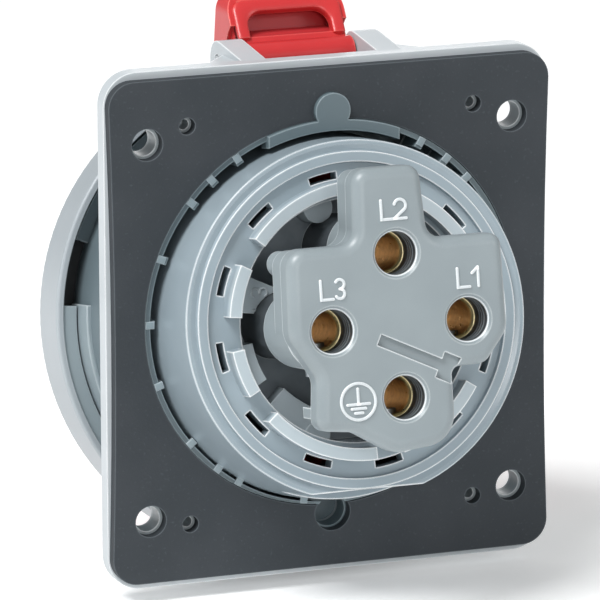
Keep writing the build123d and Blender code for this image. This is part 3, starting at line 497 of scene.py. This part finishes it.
def zinc_plate():
    """Bluish white metal, its shine uneven in patches about a PATCH across."""
    material, tree, shader, place = begin("zinc_plated_steel")
    patches = add_node(tree, "ShaderNodeTexNoise", None, {
        "Vector": place, "Scale": 1000 / PATCH, "Detail": 4.0})
    tree.links.new(layered(tree, "#B3B8BC", (patches.outputs["Fac"], "#C9CDD0")), shader.inputs["Base Color"])
    uneven_shine(tree, shader, patches.outputs["Fac"], 0.22, 0.42)
    shader.inputs["Metallic"].default_value = 1.0
    return material


dress(zinc_plate(), "housing_screws", "clamp_screws", "hinge_pin", "lid_spring",
      "sleeve_spring_l1", "sleeve_spring_l2", "sleeve_spring_l3", "sleeve_spring_earth")

# Terminal block and cover: the clover-shaped pair that closes the terminals, the
# cover snapped on with a hook.  Moulded polyamide, satin, cleaner grey than the
# barrel.


def cover_polyamide(name, shade, other, edge_highlight):
    """Neutral satin grey; the rounded edges are painted lighter, a painted highlight."""
    material, tree, shader, place = begin(name)
    mottled = drifting(tree, place, shade, other, 20)
    painted_edges_and_grain(tree, shader, place, mottled, edge_highlight, grain_mm=0.3, grain=0.05)
    shader.inputs["Roughness"].default_value = 0.36
    shader.inputs["IOR"].default_value = 1.53
    shader.inputs["Subsurface Weight"].default_value = 0.05
    shader.inputs["Subsurface Radius"].default_value = (0.002, 0.002, 0.002)
    return material


dress(cover_polyamide("cover_moulded_polyamide", "#8B9599", "#858F93", "#DFE5E7"),
      "terminal_cover", "terminal_block")

# Terminal marks: L1, L2, L3 and the earth sign, raised on the cover beside their wire entries and moulded
# with it.  They are painted lighter than the cover, a painted highlight.
COVER_FACE = 47.8
MARK_STROKE, MARK_HEIGHT, MARK_SUNK = 0.72, 0.35, 0.12
LETTER_H, LETTER_W, DIGIT_AT, DIGIT_END = 4.65, 3.1, 3.4, 6.4
EARTH_R, EARTH_POINTS, EARTH_TOP = 4.43, 60, 3.1
EARTH_BARS = ((2.86, 0.65), (1.78, 1.7), (0.97, 2.77))


def arc(centre, radius, start, end, count=14):
    """Points on a circle between two angles in degrees: centre plus radius times cosine and sine."""
    angle = np.radians(np.linspace(start, end, count))
    return np.array(centre) + radius * np.stack([np.cos(angle), np.sin(angle)], axis=-1)


def stroke(path, closed=False):
    """A stroke of a mark."""
    return bead(path, MARK_STROKE, MARK_HEIGHT, closed=closed)


def letter_l():
    """Upright and foot of an L in one stroke."""
    return [stroke([(0, LETTER_H), (0, 0), (LETTER_W, 0)])]


def digit(number):
    """Strokes of the digit that follows the L: straight lines and arcs between DIGIT_AT and DIGIT_END."""
    middle, half = (DIGIT_AT + DIGIT_END) / 2, (DIGIT_END - DIGIT_AT) / 2
    if number == 1:
        stem, flag = middle + 0.5, (DIGIT_AT + 0.4, 0.7 * LETTER_H)
        return [stroke([flag, (stem, LETTER_H)]), stroke([(stem, 0.95 * LETTER_H), (stem, 0)])]
    if number == 2:
        hook = np.vstack([arc((middle, LETTER_H - half), half, 165, -35), [(DIGIT_AT, 0.1)]])
        return [stroke(hook), stroke([(DIGIT_AT, 0), (DIGIT_END, 0)])]
    bowl = LETTER_H / 4
    return [stroke(arc((middle, 3 * bowl), bowl, 150, -90)), stroke(arc((middle, bowl), bowl, 90, -150))]


def earth_sign():
    """A ring, an upright and three bars that shorten downwards, about the ring's centre.  Each bar is given
    by half its width and its drop below the centre."""
    ring = stroke(arc((0, 0), EARTH_R, 0, 360 - 360 / EARTH_POINTS, EARTH_POINTS), closed=True)
    upright = stroke([(0, EARTH_TOP), (0, -EARTH_BARS[0][1])])
    return [ring, upright, *(stroke([(-half, -drop), (half, -drop)]) for half, drop in EARTH_BARS)]


def on_cover(u, v, height):
    """Places in metres on the cover's face: u to the right, v up from the contacts' axis."""
    return on_axis(u, v, COVER_FACE + height)


# Painted highlight: the marks get a lighter grey than the cover.
mark_highlight_plastic = cover_polyamide("mark_painted_highlight_polyamide", "#C3CBCF", "#BEC6CA", "#EEF1F2")
for mark_name, mark_strokes, (mark_u, mark_v) in (
        ("mark_l1", letter_l() + digit(1), (15.4, 7.9)), ("mark_l2", letter_l() + digit(2), (-3.28, 25.9)),
        ("mark_l3", letter_l() + digit(3), (-20.1, 7.8)), ("mark_earth", earth_sign(), (-12.3, -17.45))):
    placed = [(grid + (mark_u, mark_v, 0), closed) for grid, closed in mark_strokes]
    mark = raised_piece(mark_name, placed, on_cover, MARK_SUNK, mark_highlight_plastic)
    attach(mark, "base")

# Field mark: L3 on the raised field of the carrier beside it, reading upwards and moulded with the carrier,
# so only its edges show.  It takes the raised field's lighter grey, painted light.
FIELD_TOP, FIELD_U, FIELD_V, FIELD_SCALE = 13.5, -21.6, 4.3, 0.87


def on_field(u, v, height):
    """Places in metres on the raised field, a quarter turn round and scaled, so that u runs upwards."""
    return on_axis(FIELD_U - FIELD_SCALE * v, FIELD_V + FIELD_SCALE * u, FIELD_TOP + height)


field_mark = raised_piece("mark_field_l3", letter_l() + digit(3), on_field, MARK_SUNK,
                          insert_polyamide("field_mark_polyamide", "#A9B4B9", "#A2ADB3", "#D3DBDF"))
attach(field_mark, "base")

# Lid: dome, strap, lift tab and hinge barrel in one moulding.  Glossy red
# polyamide, the colour that marks the voltage of the outlet.
RECESS_HALF, RECESS_FLOOR, RECESS_TOP, RECESS_BACK, RECESS_FADE = 12.6, 66.8, 75.2, -35.4, 0.2


def lid_polyamide(name, recess_shade=None):
    """Saturated red with a clear gloss, its edges painted lighter, a painted highlight, and with a painted
    shade in the finger recess, where little light gets in, if one is given."""
    material, tree, shader, place = begin(name)
    shade = drifting(tree, place, "#C43334", "#BC2D30", 18)
    if recess_shade:
        at = add_node(tree, "ShaderNodeSeparateXYZ", None, {"Vector": in_millimetres(tree, place)}).outputs
        across = add_node(tree, "ShaderNodeMath", {"operation": "ABSOLUTE"}, {0: at["X"]}).outputs["Value"]
        # Painted shade: the finger recess is laid over with its own shade.
        recess = share(tree, (across, RECESS_HALF + RECESS_FADE, RECESS_HALF),
                       (at["Z"], RECESS_FLOOR - RECESS_FADE, RECESS_FLOOR),
                       (at["Z"], RECESS_TOP + RECESS_FADE, RECESS_TOP),
                       (at["Y"], RECESS_BACK - RECESS_FADE, RECESS_BACK))
        shade = layered(tree, shade, (recess, recess_shade))
    painted_edges_and_grain(tree, shader, place, shade, "#E96C64", grain_mm=0.6, grain=0.03)
    shader.inputs["Roughness"].default_value = 0.30
    shader.inputs["IOR"].default_value = 1.53
    shader.inputs["Subsurface Weight"].default_value = 0.08
    shader.inputs["Subsurface Radius"].default_value = (0.004, 0.001, 0.001)
    return material


dress(lid_polyamide("lid_moulded_polyamide", "#C0363A"), "lid")

# Tab rim: the rolled edge round the finger recess of the lid's lift tab, moulded
# with the lid, thick so that the finger doesn't feel a corner.
HINGE_Y, HINGE_Z = -21.0, 62.2
TAB_BACK, TAB_RISE = (-1.0, 0.6), (-11.5, 15.8)
TAB_HALF, RIM_FOOT, RIM_TOP, RIM_WIDTH, RIM_HEIGHT = 14.3, 4.6, 15.0, 3.3, 1.0
RIM_OUTER_ROUND, RIM_INNER_ROUND, RIM_TAPER, RIM_SUNK = 3.0, 4.2, 0.8, 1.6


def on_tab(u, v, height):
    """Places in metres on the tab's slanted rear face: u to the right, v up along the face from its foot."""
    run = np.array(TAB_RISE) - np.array(TAB_BACK)
    run /= np.linalg.norm(run)
    y = HINGE_Y + TAB_BACK[0] + v * run[0] + height * run[1]
    z = HINGE_Z + TAB_BACK[1] + v * run[1] - height * run[0]
    return np.stack([-u, y, z], axis=-1) / 1000


def tab_outline(half, top, radius):
    """Up the left side, across and down the right side, with a quarter circle at each top corner."""
    return np.vstack([[(-half, RIM_FOOT)], arc((radius - half, top - radius), radius, 180, 90),
                      arc((half - radius, top - radius), radius, 90, 0), [(half, RIM_FOOT)]])


rim_outer = tab_outline(TAB_HALF, RIM_TOP, RIM_OUTER_ROUND)
rim_inner = tab_outline(TAB_HALF - RIM_WIDTH, RIM_TOP - RIM_WIDTH, RIM_INNER_ROUND)
rim_ends = (rim_outer + rim_inner)[[0, -1]] / 2 - (0, RIM_TAPER)
rim_lines = [np.vstack([rim_ends[:1], line, rim_ends[1:]]) for line in (rim_outer, rim_inner)]
rim_height = np.pad(np.full(len(rim_outer), RIM_HEIGHT), 1)
rim = raised_piece("lid_tab_rim", [band(*rim_lines, rim_height)], on_tab, RIM_SUNK,
                   lid_polyamide("tab_rim_moulded_polyamide"))
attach(rim, "lid")

# Gate land: the small round land in the middle of the dome, where the plastic came
# in.  The real one is cut off flush and its scar is pressed flat.
DOME_FRONT, GATE_D, GATE_HEIGHT, GATE_SUNK, GATE_CROWN = -53.6, 7.0, 0.3, 0.3, 0.3
GATE_CORE, GATE_ROWS, GATE_COLUMNS = 0.05, 14, 25


def on_dome(u, v, height):
    """Places in metres at the dome's middle: u to the right seen from behind, v up."""
    return on_axis(u, v, DOME_FRONT - height)


gate_stroke = bead([(-GATE_CORE, 0), (GATE_CORE, 0)], GATE_D, GATE_HEIGHT, crown=GATE_CROWN,
                   ends=GATE_ROWS, across=GATE_COLUMNS)
gate = raised_piece("lid_gate_land", [gate_stroke], on_dome, GATE_SUNK,
                    lid_polyamide("gate_moulded_polyamide"))
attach(gate, "lid")

# Locking ring: the bayonet ring round the lid, turned to pull the lid onto its
# seal.  Moulded in light grey polyamide, smooth where it is gripped.
LIP_REAR, SKIRT_END, SKIRT_FULL, LUGS_END, LUGS_FULL = -44.9, 59.9, 59.7, 59.5, 59.4


def ring_polyamide():
    """Light grey, a little glossier than the flange from handling; inside the skirt painted dark, a painted
    shade, and the lugs in it painted paler again, as painted light, with a dimmer painted edge highlight
    there."""
    material, tree, shader, place = begin("ring_moulded_polyamide")
    along = station(tree, place)
    foot = add_node(tree, "ShaderNodeVectorMath", {"operation": "SCALE"}, {0: AXIS_ALONG, "Scale": along})
    away = add_node(tree, "ShaderNodeVectorMath", {"operation": "SUBTRACT"}, {
        0: in_millimetres(tree, place, AXIS_START), 1: foot.outputs["Vector"]})
    radius = add_node(tree, "ShaderNodeVectorMath", {"operation": "LENGTH"}, {
        0: away.outputs["Vector"]}).outputs["Value"]
    behind_lip = (along, LIP_REAR, LIP_REAR + FADE)
    # Painted shade inside the skirt and painted light on its lugs.
    skirt = share(tree, behind_lip, (radius, SKIRT_END, SKIRT_FULL))
    lugs = share(tree, behind_lip, (radius, LUGS_END, LUGS_FULL))
    outside = drifting(tree, place, "#A1A8AD", "#9AA2A7", 30)
    shade = layered(tree, outside, (skirt, "#454D51"), (lugs, "#8B979C"))
    edge_highlight = layered(tree, "#E2E6E8", (skirt, "#9BA6AB"))
    painted_edges_and_grain(tree, shader, place, shade, edge_highlight, grain_mm=0.4, grain=0.04)
    shader.inputs["Roughness"].default_value = 0.33
    shader.inputs["IOR"].default_value = 1.53
    return material


dress(ring_polyamide(), "locking_ring")

# Ring retainer: a split hoop snapped into the locking ring behind the lid's rim.
# Moulded in dark acetal, which springs and slides well.


def acetal():
    """Charcoal with the waxy shine of acetal."""
    material, tree, shader, place = begin("retainer_dark_acetal")
    shade = drifting(tree, place, "#2B2E31", "#303336", 15)
    # Painted highlight: the retainer's edges are painted lighter.
    painted_edges_and_grain(tree, shader, place, shade, "#4A4E52", grain_mm=0.4, grain=0.04, edge_mm=0.2)
    shader.inputs["Roughness"].default_value = 0.4
    return material


dress(acetal(), "ring_retainer")

# Studio: a white light table under the socket and a pale surround, in metres, one
# large soft light high on the left, and weaker ones on the right, at the wire
# entries and on the plug side.
TABLE_DROP, TABLE_HALF = 0.0005, 6.0
floor_z = cad_box[0][2] - TABLE_DROP
floor_mesh = bpy.data.meshes.new("light_table")
floor_corners = [(i * TABLE_HALF, j * TABLE_HALF, floor_z) for i, j in ((-1, -1), (1, -1), (1, 1), (-1, 1))]
floor_mesh.from_pydata(floor_corners, [], [(0, 1, 2, 3)])
floor = bpy.data.objects.new("light_table", floor_mesh)
bpy.context.scene.collection.objects.link(floor)
table_material, _, table_shader, _ = begin("light_table_opal_acrylic")
table_shader.inputs["Base Color"].default_value = linear("#F6F7F7")
table_shader.inputs["Roughness"].default_value = 0.9
table_shader.inputs["Emission Color"].default_value = linear("#FFFFFF")
table_shader.inputs["Emission Strength"].default_value = 0.22
floor_mesh.materials.append(table_material)

world = bpy.data.worlds.new("studio")
world.use_nodes = True
world.node_tree.nodes["Background"].inputs["Color"].default_value = linear("#FFFFFF")
world.node_tree.nodes["Background"].inputs["Strength"].default_value = 0.31
bpy.context.scene.world = world
# With this transform a hex colour in plain white light comes out as it is written.
bpy.context.scene.view_settings.view_transform = "Standard"


def softbox(name, place, size, power):
    """A square area light that faces the socket, its place and size in metres and its power in watts."""
    lamp = bpy.data.lights.new(name, "AREA")
    lamp.size = size
    lamp.energy = power
    lit = bpy.data.objects.new(name, lamp)
    facing = (-Vector(place)).to_track_quat("-Z", "Y")
    lit.matrix_world = Matrix.Translation(place) @ facing.to_matrix().to_4x4()
    bpy.context.scene.collection.objects.link(lit)


softbox("key_light", (0.85, 0.42, 1.35), 0.75, 30.5)
softbox("fill_light", (-0.9, 1.0, 0.5), 0.6, 3.0)
softbox("bore_light", (0.2, 1.6, 0.44), 0.3, 3.4)
softbox("plug_side_light", (-0.5, -1.5, 0.15), 0.7, 4.5)

# Camera: where the photograph was taken from, a little to the left of the wiring
# side and a little above it, far away, with a long lens.
VIEW_YAW, VIEW_RISE, VIEW_ROLL = math.radians(20.54), math.radians(13.25), math.radians(-0.26)
VIEW_DISTANCE, VIEW_RIGHT, VIEW_UP, VIEW_LENS, SENSOR = 1.620, -0.00794, 0.00453, 390.5, 36
towards = Vector((math.sin(VIEW_YAW) * math.cos(VIEW_RISE),
                  math.cos(VIEW_YAW) * math.cos(VIEW_RISE), math.sin(VIEW_RISE)))
right = Vector((-math.cos(VIEW_YAW), math.sin(VIEW_YAW), 0))
up = towards.cross(right)
turn = Matrix((right, up, towards)).transposed() @ Matrix.Rotation(VIEW_ROLL, 3, "Z")
lens = bpy.data.cameras.new("camera")
lens.lens = VIEW_LENS
lens.sensor_width = SENSOR
camera = bpy.data.objects.new("camera", lens)
stand = Vector((0, PANEL_FACE / 1000, 0)) + towards * VIEW_DISTANCE + right * VIEW_RIGHT + up * VIEW_UP
camera.matrix_world = Matrix.Translation(stand) @ turn.to_4x4()
bpy.context.scene.collection.objects.link(camera)
bpy.context.scene.camera = camera
